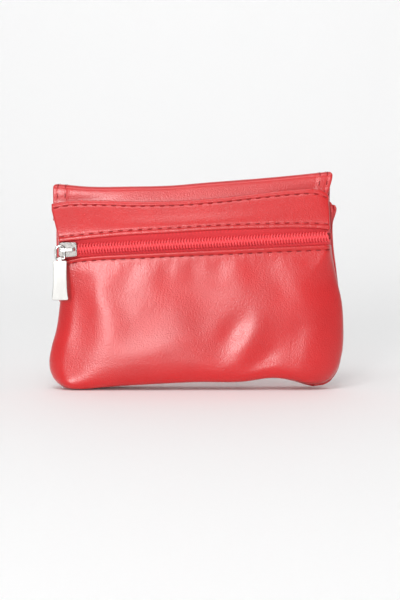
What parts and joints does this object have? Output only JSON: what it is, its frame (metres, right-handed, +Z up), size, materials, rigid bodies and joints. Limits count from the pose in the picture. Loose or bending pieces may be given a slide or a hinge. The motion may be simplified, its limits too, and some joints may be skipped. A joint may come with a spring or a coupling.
{
  "type": "coin purse",
  "caption": "small soft leather coin purse with a zipped pocket across its front, a metal zip pull and a lined flap that folds over its open top and closes with a press stud behind",
  "frame": {"origin": "bottom centre of the bounding box, on the floor the purse stands on", "axes": "+X to the right across the zipped front, +Y from the zipped front to the flap's side, +Z up"},
  "size_m": [0.1275, 0.0286, 0.0917],
  "materials": {
    "leather_red": "smooth fine grain, semi-gloss",
    "lining_red": "woven lining cloth",
    "zip_tape": "woven polyester tape",
    "zip_coil": "nylon coil",
    "nickel": "polished nickel plate"
  },
  "bodies": {
    "purse_body": {"front_lower_panel": "leather_red", "front_upper_band": "leather_red", "pocket_divider": "leather_red", "rear_panel": "leather_red", "flap_root": "leather_red", "pocket_lining_front": "lining_red", "pocket_lining_back": "lining_red", "main_lining_front": "lining_red", "main_lining_rear": "lining_red", "zip_tape_upper": "zip_tape", "zip_tape_lower": "zip_tape", "zip_coil_upper": "zip_coil", "zip_coil_lower": "zip_coil", "snap_stud": "nickel", "snap_post": "nickel"},
    "flap_fold": {"flap_fold_leather": "leather_red", "flap_fold_lining": "lining_red"},
    "flap_tongue": {"flap_tongue_leather": "leather_red", "flap_tongue_lining": "lining_red", "snap_cap": "nickel", "snap_socket": "nickel"},
    "slider": {"slider_body": "nickel", "slider_bridge": "nickel"},
    "bail": {"pull_bail": "nickel"},
    "tab": {"pull_tab": "nickel"}
  },
  "joints": [
    {"name": "flap_lift", "type": "hinge", "parent": "purse_body", "child": "flap_fold", "pos_m": [0, -0.0044, 0.08245], "axis": [0.9988, 0, 0.0499], "range_deg": [0, 90]},
    {"name": "flap_unfold", "type": "hinge", "parent": "flap_fold", "child": "flap_tongue", "pos_m": [0, 0.01305, 0.07785], "axis": [0.9988, 0, 0.0499], "range_deg": [0, 90]},
    {"name": "zip_slide", "type": "slide", "parent": "purse_body", "child": "slider", "axis": [0.9988, 0, 0.0499], "range_m": [0, 0.104], "deforming": ["zip_coil_upper", "zip_coil_lower"]},
    {"name": "pull_swing", "type": "hinge", "parent": "slider", "child": "bail", "pos_m": [-0.05763, -0.0125, 0.06012], "axis": [0, 1, 0], "range_deg": [-30, 180]},
    {"name": "tab_lift", "type": "hinge", "parent": "bail", "child": "tab", "pos_m": [-0.05763, -0.0125, 0.05642], "axis": [-1, 0, 0], "range_deg": [0, 90]}
  ],
  "couplings": [
    {"joint": "flap_unfold", "follows": "flap_lift", "ratio": 1}
  ]
}
